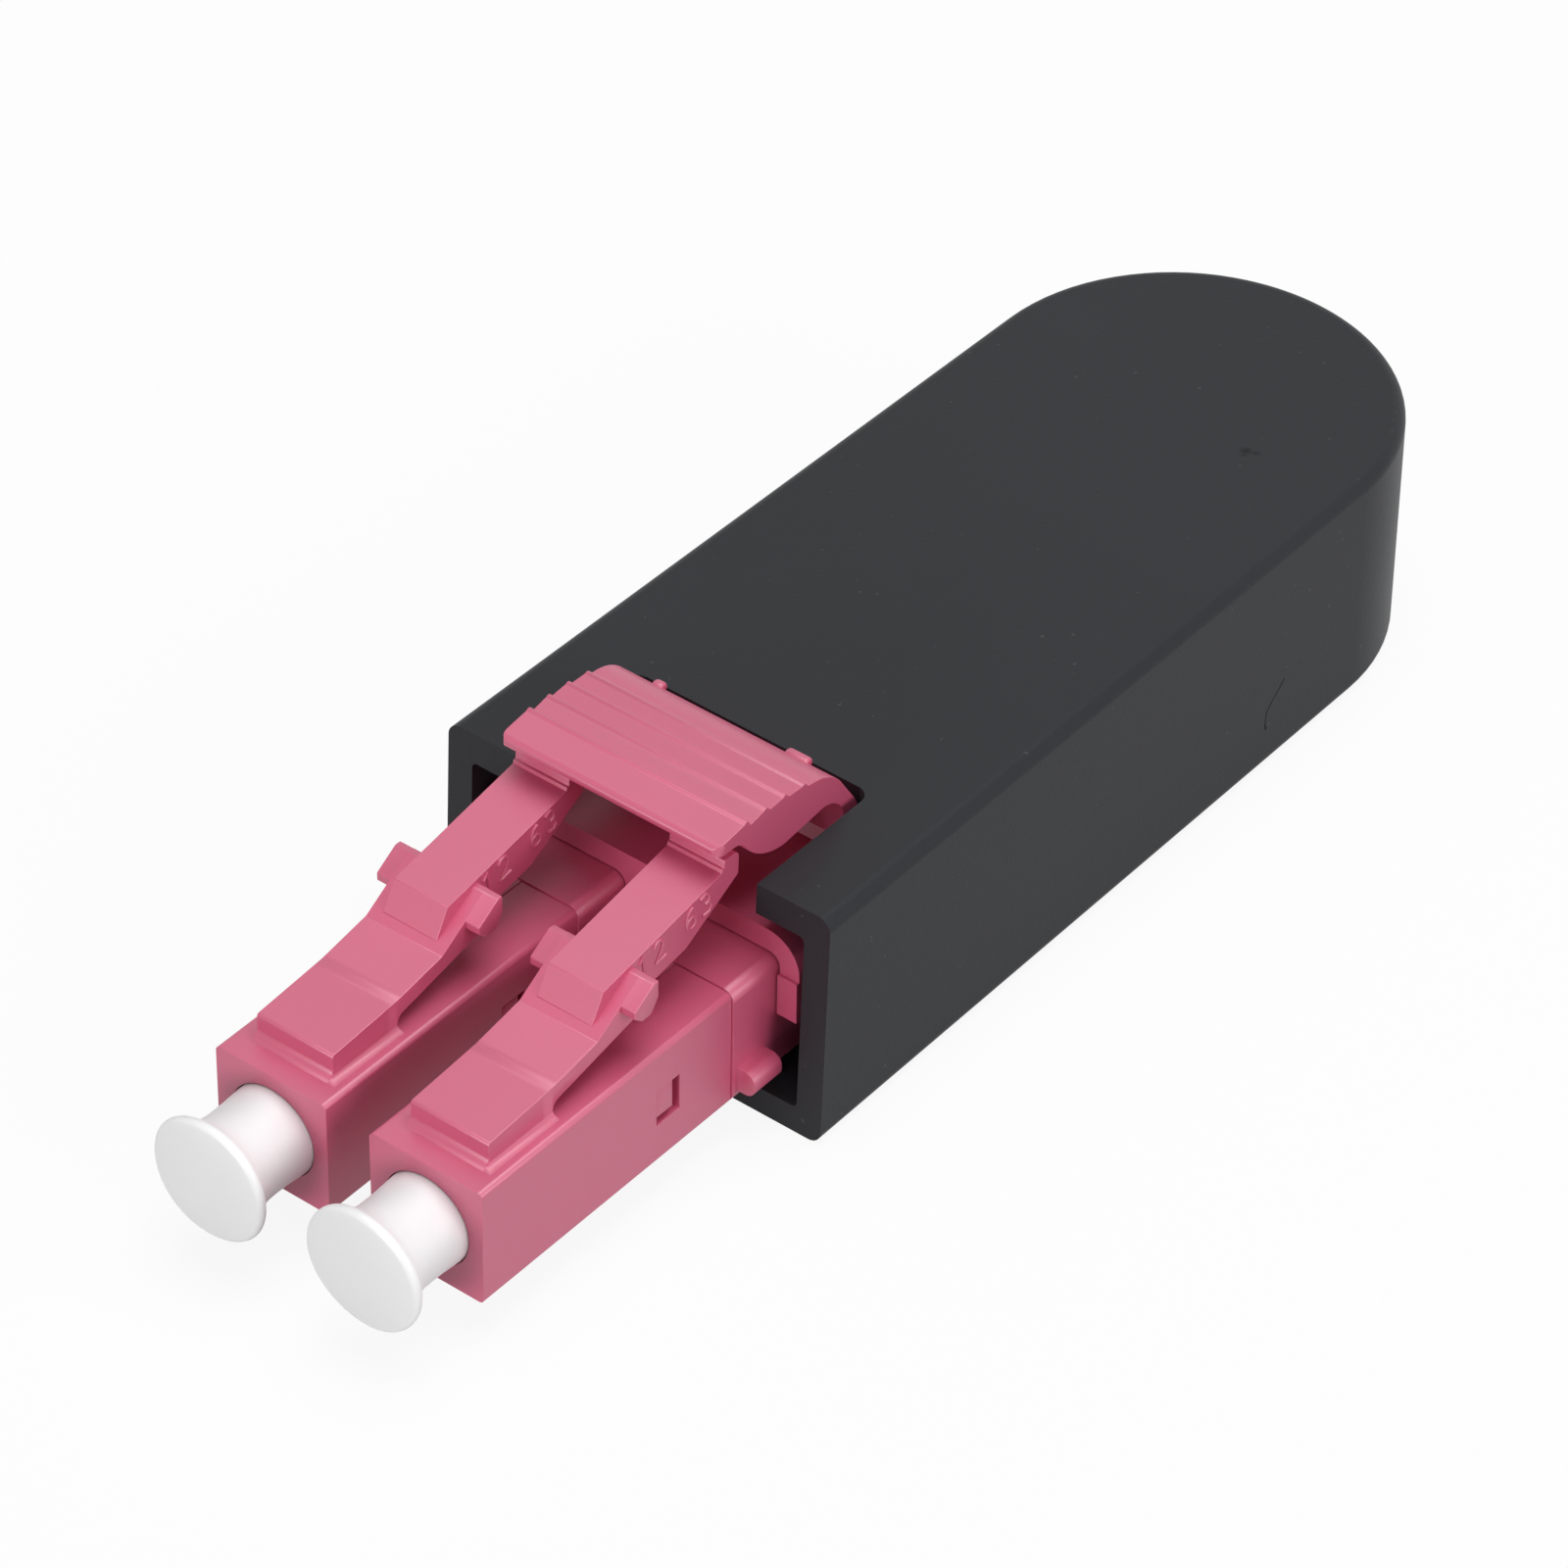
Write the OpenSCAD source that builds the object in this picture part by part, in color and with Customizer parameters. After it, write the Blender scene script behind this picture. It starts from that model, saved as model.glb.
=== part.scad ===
// Duplex fibre loopback plug: two small-form connectors in one clip, in a moulded shell that
// holds the loop of fibre from one to the other. +Y runs from the noses to the round end, +Z is
// up, X runs across, and the origin is under the middle of the plug on the surface it rests on.

/* [Housing] */
// Length of the shell from its roof's front edge to its round end
shell_len = 36.2; // [34:0.1:45]
// Draft of each side wall towards the rear, in degrees
shell_draft = 0.55; // [0:0.05:0.7]
// Rounding of the shell's long edges
shell_edge_r = 0.5; // [0.2:0.05:0.8]
// Lean of the open front: its floor reaches further forward than its roof, in degrees
front_lean = 2.1; // [0:0.1:4]
// Thickness of the side walls
wall_side = 1; // [0.8:0.05:1.3]
// Thickness of the roof
wall_roof = 1.15; // [0.8:0.05:1.5]
// Thickness of the floor
wall_floor = 1; // [0.8:0.05:1.1]

/* [Connectors] */
// Distance between the two connector axes
pitch = 6.25; // [6.2:0.05:6.4]
// Width and height of a connector's square nose
plug_w = 4.5; // [4.4:0.05:4.6]
// Length of a plug body from its nose to its seam
plug_len = 11.9; // [11.5:0.1:12.5]
// How far the seam stands out of the shell
seam_out = 1.9; // [1.7:0.1:3]
// Height of the connector axes above the surface
axis_z = 3.8; // [3.75:0.05:4]
// Radius of a plug body's long edges
plug_edge_r = 0.2; // [0.1:0.05:0.5]
// Diameter of the round socket in the nose
nose_bore_d = 3.4; // [3.2:0.05:3.5]
// Diameter of the ferrule
ferrule_d = 1.25; // [1.25, 2.5]
// How far the ferrule's tip stands out of the nose
ferrule_out = 1.2; // [0.8:0.1:1.5]
// Travel of the sprung ferrule
ferrule_travel = 0.5; // [0.3:0.1:0.8]

/* [Clip] */
// Thickness of the clip's band over the rear bodies
band_t = 0.85; // [0.6:0.05:1]
// Thickness of the clip's side arms
arm_t = 0.78; // [0.6:0.02:1]
// Length of the clip
clip_len = 5.2; // [5.1:0.1:6]

/* [Latches and trigger] */
// Width of the latch arm in front of its lugs
latch_w = 3.1; // [2.8:0.1:3.4]
// Width across the two lugs of a latch
lug_w = 4.2; // [3.9:0.1:4.4]
// Width of the latch's raised block and tail
tail_w = 2.2; // [1.8:0.1:2.6]
// Thickness of the latch arm at its flexing root
latch_t = 0.7; // [0.5:0.05:0.8]
// Width of the trigger
trigger_w = 8.8; // [8.4:0.1:9.2]
// Number of grip steps on the trigger
grip_steps = 4; // [0:1:6]
// Height of one grip step
grip_step_h = 0.14; // [0.03:0.01:0.2]
// Turn of the trigger from rest to fully pressed, in degrees
trigger_turn = 12; // [8:1:12]
// Furthest turn of a latch arm, in degrees
latch_turn = 11; // [8:1:12]

/* [Dust caps] */
// Length of a cap outside the nose
cap_out = 3.2; // [2.5:0.1:5]
// Diameter of the cap's flange
cap_flange_d = 4.5; // [4:0.1:5.5]

/* [Fibre] */
// Diameter of the buffered fibre
fibre_d = 0.9; // [0.6:0.1:0.9]
// Gap between the loop of fibre and the wall of the round end
loop_gap = 0.8; // [0.3:0.05:1.1]

/* [Fits] */
// Gap between fixed pieces that touch along curved faces
seat_gap = 0.04; // [0.02:0.01:0.08]
// Gap round a dust cap and round a sliding ferrule
slip_gap = 0.1; // [0.06:0.01:0.15]
// Gap between the clip and the shell's side walls
clip_gap = 0.48; // [0.3:0.02:0.6]
// Gap between the clip and the shell's roof
roof_gap = 0.84; // [0.5:0.02:1.5]
// Gap behind the trigger's leg, in the notch of the roof
leg_gap = 0.13; // [0.08:0.01:0.3]
// Gap between the trigger and each side of the notch in the roof
notch_gap = 0.42; // [0.3:0.02:0.6]

/* [Hidden] */
$fn = 64;
eps = 0.01;
shell_black = [0.27, 0.27, 0.28];
plug_pink = [0.85, 0.48, 0.58];
cap_white = [0.94, 0.94, 0.94];
steel_grey = [0.72, 0.73, 0.75];

// Rear bodies stand a little proud of the plug bodies, and the shell is as wide as they, the
// clip's arms and its own side walls need.
rear_w = plug_w + 0.14;
arm_in = pitch / 2 + rear_w / 2 + seat_gap;
clip_side = arm_in + arm_t;
shell_w = 2 * (clip_side + clip_gap + wall_side);

// Places along Y. The whole length is centred on the origin.
plug_out = plug_len + seam_out;
overall_len = cap_out + plug_out + shell_len;
nose_y = -overall_len / 2 + cap_out;
seam_y = nose_y + plug_len;
front_y = nose_y + plug_out;
rear_y = front_y + shell_len;

// The round end is tangent to both side walls, which lean in by the draft.
end_r = (shell_w / 2 * cos(shell_draft) - shell_len * sin(shell_draft)) / (1 - sin(shell_draft));
end_y = rear_y - end_r;
loop_r = end_r - wall_side - fibre_d / 2 - loop_gap;

// Heights. The shell is as high as the clip, its clearance and the roof need.
nose_bottom = axis_z - plug_w / 2;
nose_top = axis_z + plug_w / 2;
clip_top = axis_z + rear_w / 2 + seat_gap + band_t;
roof_z = clip_top + roof_gap;
shell_h = roof_z + wall_roof;
hollow_r = 0.2;

// Rear bodies
rear_edge_r = 0.45;
rear_block_len = 6.4;
rear_block_end = seam_y + rear_block_len;
neck_r = 1.55;
neck_len = 2.4;
sleeve_w = plug_w - 1.1;
sleeve_front = seam_y - 4;
sleeve_r = 0.2;
side_lug_y = seam_y + 0.23;
side_lug_r = 0.4;
side_lug_h = 0.93;
side_lug_out = 0.72;
side_lug_len = 1.35;
side_lug_z = nose_bottom + 0.4;

// Window in each side of a plug body, which a snap tab of the rear body fills in part
window_front = seam_y - 3.65;
window_len = 1.13;
window_h = 1.4;
tab_len = 0.76;
tab_h = 1.05;
tab_sink = 0.03;

// Key of the rear body in a notch of the plug body's top edge
key_len = 1;
key_w = 1.1;
key_z = sleeve_w / 2 - 0.2;

// Ferrule, its holder and its spring
ferrule_len = 6.9;
ferrule_r = ferrule_d / 2;
ferrule_front = nose_y - ferrule_out;
ferrule_rear = ferrule_front + ferrule_len;
bulkhead_y = nose_y + 4.1;
bulkhead_t = 0.5;
flange_y = bulkhead_y + bulkhead_t;
flange_len = 1.4;
flange_across = 2.6;
flange_room = 0.3;
collar_over = 0.2;
collar_r = 0.95;
tube_r = 0.8;
tube_end = seam_y + 0.6;
spring_seat = seam_y - 1.4;
spring_r = 1.12;
spring_wire_r = 0.14;
spring_turns = 6;
fibre_front = ferrule_rear + ferrule_travel + 0.4;

// Boots slip over the rear bodies' necks.
boot_front = rear_block_end + 0.5;
boot_len = 7;

// Duplex clip: a band over both rear bodies with an arm down each side
clip_y = front_y + 0.36;
clip_end = clip_y + clip_len;
clip_corner_r = 1.3;
arm_bottom = axis_z + 0.08;
rib_bottom = nose_bottom + 0.7;
rib_half_w = 0.55;
arm_tab_h = 1.6;
arm_tab_out = 0.12;
catch_bite = 0.12;
catch_r = clip_gap + catch_bite;
catch_y = clip_y + clip_len / 2;

// Trigger, seen from its side. Its leg stands at the clip's rear end and bends at the hinge
// line; above it the heel, the crown with its grip steps, the belly under it and the lip.
leg_t = 0.7;
leg_rear = clip_end + 0.02;
leg_front = leg_rear - leg_t;
hinge_y = (leg_front + leg_rear) / 2;
hinge_z = clip_top + 0.45;
heel_r = 2;
heel_y = leg_rear - 2.53;
heel_z = hinge_z + 1.3;
heel_slope = 57.5;
crown_r = 9.4;
crown_y = leg_rear - 4.78;
crown_z = heel_z + 2.29;
arch_r = 1.08;
arch_y = leg_front - arch_r;
arch_z = hinge_z + 0.84;
belly_r = 2.37;
belly_y = crown_y + 1.15;
belly_z = crown_z - 1.87;
lip_y = leg_rear - 7.02;
lip_t = 0.46;
lip_z = crown_z - 0.43;
lip_rise = 0.25;
grip_from = lip_y + 1.58;
grip_pitch = 0.95;

// Latch arms, seen from the side: heights are above the top of the plug bodies. The arm rises
// gently to the ramp, then steeply up to the lugs; the raised block carries on as the tail.
foot_y = nose_y + 1.15;
foot_h = 0.87;
root_y = nose_y + 4.15;
root_top = nose_top + 1.1;
root_z = root_top - latch_t / 2;
ramp_y = nose_y + 6.26;
ramp_top = nose_top + 1.48;
lug_y = nose_y + 7.4;
lug_rear = nose_y + 8.55;
lug_top = nose_top + 2.75;
lug_bottom = nose_top + 1.6;
lug_r = 0.35;
crest_y = lug_rear - 0.25;
arm_low = lug_top - 1.4;
block_y = nose_y + 7.1;
block_top = nose_top + 2.68;
block_lean = 0.55;
block_foot = block_top - 0.98;
hook_y = lip_y + 0.55;
hook_len = 0.75;
hook_h = 0.4;
tail_top = nose_top + 3.7;
tail_rear = hook_y + hook_len;
tail_bottom = nose_top + 3.19;
tail_knee_y = nose_y + 11.07;
tail_knee_z = nose_top + 1.79;

// ---- helpers -------------------------------------------------------------------------------

// Extrudes an X-Z outline along Y
module along_y(from, to) {
    translate([0, to, 0])
        rotate([90, 0, 0])
            linear_extrude(to - from)
                children();
}

// Extrudes a Y-Z outline along X, centred
module along_x(width) {
    rotate([90, 0, 90])
        linear_extrude(width, center = true)
            children();
}

// Round bar along Y
module bar(radius, from, to) {
    along_y(from, to)
        circle(radius);
}

// Moves a connector's piece from X = 0 to its own axis: -1 is left, 1 is right
module on_axis(side) {
    translate([side * pitch / 2, 0, axis_z])
        children();
}

// Rectangle from one corner to the opposite one, with round corners
module round_box(low, high, r) {
    translate([low[0] + r, low[1]])
        square([high[0] - low[0] - 2 * r, high[1] - low[1]]);
    translate([low[0], low[1] + r])
        square([high[0] - low[0], high[1] - low[1] - 2 * r]);
    for (x = [low[0] + r, high[0] - r], z = [low[1] + r, high[1] - r])
        translate([x, z])
            circle(r);
}

module round_square(width, r) {
    round_box([-width / 2, -width / 2], [width / 2, width / 2], r);
}

// Faces of a tube whose points come as rings of equal size, one after another
function tube_faces(rings, sides) = concat(
    [for (i = [0 : rings - 1], k = [0 : sides - 1])
        let (a = i * sides + k, b = i * sides + (k + 1) % sides)
            each [[a, b, a + sides], [b, b + sides, a + sides]]],
    [[for (k = [0 : sides - 1]) sides - 1 - k], [for (k = [0 : sides - 1]) rings * sides + k]]);

// ---- housing -------------------------------------------------------------------------------

// Half of the shell's section: flat at the middle, round at its outer corners
module half_section(inner, outer, low, high, r) {
    translate([inner, low])
        square([outer - r - inner, high - low]);
    translate([inner, low + r])
        square([outer - inner, high - low - 2 * r]);
    for (z = [low + r, high - r])
        translate([outer - r, z])
            circle(r);
}

// The shell's form, drawn in from its outside by inset: drafted sides and a revolved end
module shell_form(inset, low, high, r) {
    side_r = end_r - inset;
    reach = shell_len + 2;
    translate([0, end_y, 0]) {
        for (m = [0, 1])
            mirror([m, 0, 0])
                rotate([0, 0, shell_draft])
                    along_y(-reach, 0)
                        half_section(-1, side_r, low, high, r);
        rotate([0, 0, shell_draft])
            rotate_extrude(angle = 180 - 2 * shell_draft)
                half_section(0, side_r, low, high, r);
    }
}

// Notch in the roof round the trigger, with round rear corners
module roof_notch() {
    corner = 0.5;
    half_w = trigger_w / 2 + notch_gap;
    rear = leg_rear + leg_gap;
    translate([0, 0, roof_z - 1]) {
        linear_extrude(wall_roof + 2) {
            translate([-half_w, front_y - 2])
                square([2 * half_w, rear - corner - front_y + 2]);
            translate([-half_w + corner, front_y])
                square([2 * (half_w - corner), rear - front_y]);
            for (s = [-1, 1])
                translate([s * (half_w - corner), rear - corner])
                    circle(corner);
        }
    }
}

// Takes off what lies in front of the leaning open front
module front_cut() {
    depth = end_r + 4;
    translate([0, front_y, shell_h])
        rotate([-front_lean, 0, 0])
            translate([-shell_w, -depth, -2 * shell_h])
                cube([2 * shell_w, depth, 3 * shell_h]);
}

module housing() {
    rail_w = 2.4;
    rail_top = axis_z - rear_w / 2 - seat_gap;
    rail_inset = 0.5;
    rib_t = 1.2;
    rib_w = clip_gap + 1.1;
    rib_x = clip_side - 1 + rib_w / 2;
    color(shell_black) {
        difference() {
            shell_form(0, 0, shell_h, shell_edge_r);
            shell_form(wall_side, wall_floor, roof_z, hollow_r);
            roof_notch();
            front_cut();
        }
        // floor rails carry the rear bodies, and side ribs stop the clip from sliding back
        for (s = [-1, 1]) {
            translate([s * pitch / 2 - rail_w / 2, clip_y + rail_inset, wall_floor - eps])
                cube([rail_w, clip_len - 2 * rail_inset, rail_top - wall_floor + eps]);
            translate([s * rib_x - rib_w / 2, clip_end + seat_gap, wall_floor - eps])
                cube([rib_w, rib_t, roof_z - wall_floor + 2 * eps]);
            translate([s * (clip_side + clip_gap), catch_y, wall_floor - eps])
                cylinder(r = catch_r, h = roof_z - wall_floor + 2 * eps);
        }
    }
}

// ---- duplex clip and trigger ---------------------------------------------------------------

// The m-shaped section that straddles both rear bodies
module clip_section() {
    opening = rear_w + 2 * seat_gap;
    difference() {
        round_box([-clip_side, arm_bottom - 4], [clip_side, clip_top], clip_corner_r);
        for (s = [-1, 1])
            translate([s * (clip_side + 1 + rib_half_w) / 2, arm_bottom - 3])
                square([clip_side + 1 - rib_half_w, 6], center = true);
        translate([-1, rib_bottom - 6])
            square([2, 6]);
        for (s = [-1, 1])
            translate([s * pitch / 2, axis_z]) {
                round_square(opening, rear_edge_r);
                translate([-opening / 2, -opening])
                    square([opening, opening]);
            }
    }
}

module duplex_clip() {
    color(plug_pink) {
        difference() {
            union() {
                along_y(clip_y, clip_end)
                    clip_section();
                // flat ends of the side arms
                for (s = [-1, 1])
                    translate([s * (arm_in + arm_t / 2) - arm_t / 2, clip_y - arm_tab_out, arm_bottom])
                        cube([arm_t, 1, arm_tab_h]);
            }
            // grooves for the shell's catches
            for (s = [-1, 1])
                translate([s * (clip_side + clip_gap), catch_y, arm_bottom - 1])
                    cylinder(r = catch_r + seat_gap, h = clip_top);
        }
        // foot that the trigger's leg springs from
        along_x(trigger_w)
            polygon([[leg_front - 0.35, clip_top - 0.2], [leg_rear, clip_top - 0.2],
                [leg_rear, hinge_z - seat_gap / 2], [leg_front, hinge_z - seat_gap / 2]]);
    }
}

// Height of the trigger's crown at a place along Y
function crown(y) = crown_z - crown_r + sqrt(crown_r * crown_r - (y - crown_y) * (y - crown_y));

// Top of the trigger from the lip to the last step: each tier rises to a step at its rear edge.
// The last point lies inside the heel.
function step_y(i) = grip_from + i * grip_pitch;
grip_line = concat(
    [[lip_y + lip_t / 2, lip_z + lip_t]],
    [for (i = [0 : grip_steps - 1]) each [
        [step_y(i) - 0.12, crown(step_y(i)) + (i == 0 ? lip_rise : grip_step_h)],
        [step_y(i) + 0.08, crown(step_y(i))]]],
    [[heel_y + 0.3, heel_z + heel_r - 0.1]]);

module trigger_profile() {
    flank_y = heel_y + heel_r * sin(heel_slope);
    flank_z = heel_z + heel_r * cos(heel_slope);
    flank_drop = (leg_rear - flank_y) * tan(heel_slope);
    arch_top = arch_z + arch_r;
    lip_mid = lip_y + lip_t / 2;
    throat_r = 0.7;
    throat_z = lip_z - throat_r;
    throat_y = belly_y - sqrt(pow(belly_r + throat_r, 2) - pow(belly_z + belly_r - throat_z, 2));
    difference() {
        union() {
            // lip and crown, down to the line from the belly to the arch
            polygon(concat([[lip_mid, lip_z]], grip_line,
                [[arch_y, arch_top], [belly_y, belly_z], [throat_y, lip_z]]));
            translate([lip_mid, lip_z + lip_t / 2])
                circle(lip_t / 2);
            intersection() {
                translate([heel_y, heel_z])
                    circle(heel_r);
                translate([belly_y, heel_z - heel_r])
                    square(2 * heel_r);
            }
            intersection() {
                translate([belly_y, belly_z + belly_r])
                    circle(belly_r);
                translate([belly_y - belly_r, belly_z])
                    square([belly_r, lip_z + lip_t / 2 - belly_z]);
            }
            // flank of the leg, sloping from the heel and then upright
            polygon([[heel_y, heel_z], [flank_y, flank_z], [leg_rear, flank_z - flank_drop],
                [leg_rear, hinge_z + seat_gap / 2], [leg_front, hinge_z + seat_gap / 2]]);
        }
        // throat between the lip and the belly
        translate([throat_y, throat_z])
            circle(throat_r);
        // arch between the belly and the leg
        translate([arch_y, arch_z])
            circle(arch_r);
        polygon([[leg_front, arch_z], [arch_y, arch_top], [belly_y, belly_z], [lip_y, belly_z],
            [lip_y, hinge_z - 1], [leg_front, hinge_z - 1]]);
        // relief in front of the hinge line, so that the leg can lean forward
        translate([hinge_y, hinge_z])
            polygon([[0, 0], [0, seat_gap / 2], [-1, seat_gap / 2 + tan(trigger_turn)], [-1, 0]]);
    }
}

// Small gate mark that the moulding leaves on the heel
module gate_mark(x, width) {
    around = heel_slope - 6;
    mark = 0.4;
    out = 0.15;
    translate([x, heel_y + heel_r * sin(around), heel_z + heel_r * cos(around)])
        rotate([-around, 0, 0])
            translate([-width / 2, -mark / 2, -out])
                cube([width, mark, 2 * out]);
}

module trigger() {
    color(plug_pink) {
        along_x(trigger_w)
            trigger_profile();
        gate_mark(-trigger_w * 0.32, 0.4);
        gate_mark(trigger_w * 0.32, 0.9);
    }
}

// ---- connectors ----------------------------------------------------------------------------

// Foot of the latch, moulded on the plug body: a fillet, an upright front with a broken edge,
// and a flat that rises to the root
module latch_foot() {
    fillet_r = 0.35;
    edge = 0.12;
    along_x(latch_w)
        difference() {
            polygon([[foot_y - fillet_r, nose_top - 0.1], [foot_y - fillet_r, nose_top + fillet_r],
                [foot_y, nose_top + fillet_r], [foot_y, nose_top + foot_h - edge],
                [foot_y + edge, nose_top + foot_h], [root_y - seat_gap / 2, root_top],
                [root_y - seat_gap / 2, nose_top - 0.1]]);
            translate([foot_y - fillet_r, nose_top + fillet_r])
                circle(fillet_r);
        }
}

module plug_body(side) {
    cavity_w = sleeve_w + 2 * seat_gap;
    color(plug_pink) {
        on_axis(side)
            difference() {
                along_y(nose_y, seam_y)
                    round_square(plug_w, plug_edge_r);
                bar(nose_bore_d / 2, nose_y - 1, bulkhead_y);
                bar(collar_r + slip_gap, bulkhead_y - 1, flange_y + 1);
                bar(flange_across / 2 + flange_room, flange_y, sleeve_front + eps);
                along_y(sleeve_front - seat_gap, seam_y + 1)
                    round_square(cavity_w, sleeve_r);
                // side windows for the snap tabs
                translate([-plug_w, window_front, -window_h / 2])
                    cube([2 * plug_w, window_len, window_h]);
                // notch for the rear body's key
                translate([-key_w, seam_y - key_len, key_z])
                    cube([key_w, key_len + 1, plug_w]);
            }
        translate([side * pitch / 2, 0, 0])
            latch_foot();
    }
}

// Side view of the wide front arm up to the rear of the lugs. Its lower edge starts back from
// the root, so that the arm can turn down.
module front_arm_profile() {
    front = root_y + seat_gap / 2;
    slant = latch_t / 2 * tan(latch_turn);
    knee = 0.54;
    knee_t = 0.5;
    polygon([[front, root_z], [front, root_top], [ramp_y, ramp_top], [crest_y, lug_top],
        [lug_rear, lug_top], [lug_rear, arm_low], [ramp_y + knee, ramp_top - knee_t],
        [front + slant, root_top - latch_t]]);
}

// Side view of a lug: its top carries on the arm's ramp, and its underside is cut back
module lug_profile() {
    rise = (lug_top - ramp_top) / (crest_y - ramp_y);
    front_top = ramp_top + rise * (lug_y - ramp_y);
    nose_h = 0.28;
    rear_h = 0.65;
    cut = 0.35;
    polygon([[lug_y, front_top - nose_h], [lug_y, front_top], [crest_y, lug_top],
        [lug_rear, lug_top], [lug_rear, lug_top - rear_h], [crest_y - cut, lug_bottom],
        [lug_y + cut, lug_bottom]]);
}

// Side view of the raised block and the tail with its hook
module tail_profile() {
    edge = 0.06;
    hook_top = tail_top + hook_h;
    hook_edge = 0.2;
    front = block_y - block_lean;
    polygon([[front, block_foot - latch_t / 2], [front, block_foot], [block_y, block_top - edge],
        [block_y + edge, block_top], [hook_y, tail_top], [hook_y + edge, hook_top],
        [tail_rear - hook_edge, hook_top], [tail_rear, hook_top - hook_edge],
        [tail_rear - edge, tail_bottom], [tail_knee_y, tail_knee_z], [lug_rear, arm_low]]);
}

module latch(side) {
    color(plug_pink)
        translate([side * pitch / 2, 0, 0]) {
            along_x(latch_w)
                front_arm_profile();
            along_x(tail_w)
                tail_profile();
            // lugs, round at their outer ends
            intersection() {
                along_x(lug_w)
                    lug_profile();
                along_y(lug_y - 1, lug_rear + 1)
                    round_box([-lug_w / 2, lug_bottom], [lug_w / 2, lug_top], lug_r);
            }
        }
}

module rear_body(side) {
    tab_side = plug_w / 2 - tab_sink;
    color(plug_pink)
        on_axis(side)
            difference() {
                union() {
                    along_y(seam_y + seat_gap / 2, rear_block_end)
                        round_square(rear_w, rear_edge_r);
                    bar(neck_r, rear_block_end - 1, rear_block_end + neck_len);
                    along_y(sleeve_front, seam_y + 1)
                        round_square(sleeve_w, sleeve_r);
                    // snap tabs, all but flush in the windows
                    translate([-tab_side, window_front + seat_gap, window_h / 2 - tab_h - seat_gap])
                        cube([2 * tab_side, tab_len, tab_h]);
                    // key in the plug body's notch
                    translate([-key_w + seat_gap, seam_y - key_len + seat_gap, key_z])
                        cube([key_w - 2 * seat_gap, key_len + 1, plug_w / 2 - key_z]);
                    // lugs low on both sides
                    along_y(side_lug_y, side_lug_y + side_lug_len)
                        round_box([-rear_w / 2 - side_lug_out, side_lug_z - axis_z],
                            [rear_w / 2 + side_lug_out, side_lug_z - axis_z + side_lug_h], side_lug_r);
                }
                bar(spring_r + spring_wire_r + slip_gap, sleeve_front - 1, spring_seat);
                bar(tube_r + slip_gap, sleeve_front, rear_block_end + neck_len + 1);
            }
}

module ferrule(side) {
    tip = 0.25;
    color(cap_white)
        on_axis(side)
            translate([0, ferrule_front, 0])
                rotate([-90, 0, 0]) {
                    cylinder(r1 = ferrule_r - tip, r2 = ferrule_r, h = tip);
                    translate([0, 0, tip])
                        cylinder(r = ferrule_r, h = ferrule_len - tip);
                }
}

// Flanged holder: a collar in the bulkhead, a six-sided flange and a tube through the spring
module ferrule_holder(side) {
    color(steel_grey)
        on_axis(side)
            difference() {
                union() {
                    bar(collar_r, bulkhead_y - collar_over, flange_y + collar_over);
                    translate([0, flange_y + seat_gap, 0])
                        rotate([-90, 0, 0])
                            cylinder(d = flange_across / cos(30), h = flange_len, $fn = 6);
                    bar(tube_r, flange_y + collar_over, tube_end);
                }
                bar(ferrule_r, bulkhead_y - 1, ferrule_rear);
                bar(fibre_d / 2 + slip_gap, ferrule_rear - eps, tube_end + 1);
            }
}

// Coil spring between the holder's flange and its seat in the rear body
function coil_point(a, w, rise, turns) =
    let (turn = a / 360, r = spring_r + spring_wire_r * cos(w))
        [r * cos(a), rise * turn / turns + spring_wire_r * sin(w), r * sin(a)];

module spring(side) {
    steps = 16;
    spring_sides = 6;
    first = flange_y + seat_gap + flange_len + spring_wire_r + seat_gap;
    rise = spring_seat - spring_wire_r - seat_gap - first;
    rings = spring_turns * steps;
    points = [for (i = [0 : rings], k = [0 : spring_sides - 1])
        coil_point(i * 360 / steps, k * 360 / spring_sides, rise, spring_turns)];
    color(steel_grey)
        on_axis(side)
            translate([0, first, 0])
                polyhedron(points, tube_faces(rings, spring_sides));
}

// Boot: a grip over the neck, a taper and a long thin tail round the fibre
module boot(side) {
    wall = 0.45;
    grip_r = neck_r + wall;
    grip_end = 2.2;
    taper_end = 3.4;
    rear_r = fibre_d / 2 + wall;
    color(shell_black)
        on_axis(side)
            difference() {
                translate([0, boot_front, 0])
                    rotate([-90, 0, 0])
                        rotate_extrude()
                            polygon([[0, 0], [grip_r, 0], [grip_r, grip_end],
                                [rear_r + wall / 2, taper_end], [rear_r, boot_len],
                                [0, boot_len]]);
                bar(neck_r + seat_gap, boot_front - 1, rear_block_end + neck_len + seat_gap);
                bar(fibre_d / 2 + seat_gap, boot_front, boot_front + boot_len + 1);
            }
}

// ---- fibre ---------------------------------------------------------------------------------

// Route of the loop as [x, y, heading]: straight out of the boot, an S-bend out to the loop's
// width, half a turn in the round end, and the same way back
function arc_route(x, y, radius, from, to, steps) =
    let (lead = to > from ? 90 : -90)
        [for (i = [1 : steps]) let (a = from + (to - from) * i / steps)
            [x + radius * cos(a), y + radius * sin(a), a + lead]];

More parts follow.
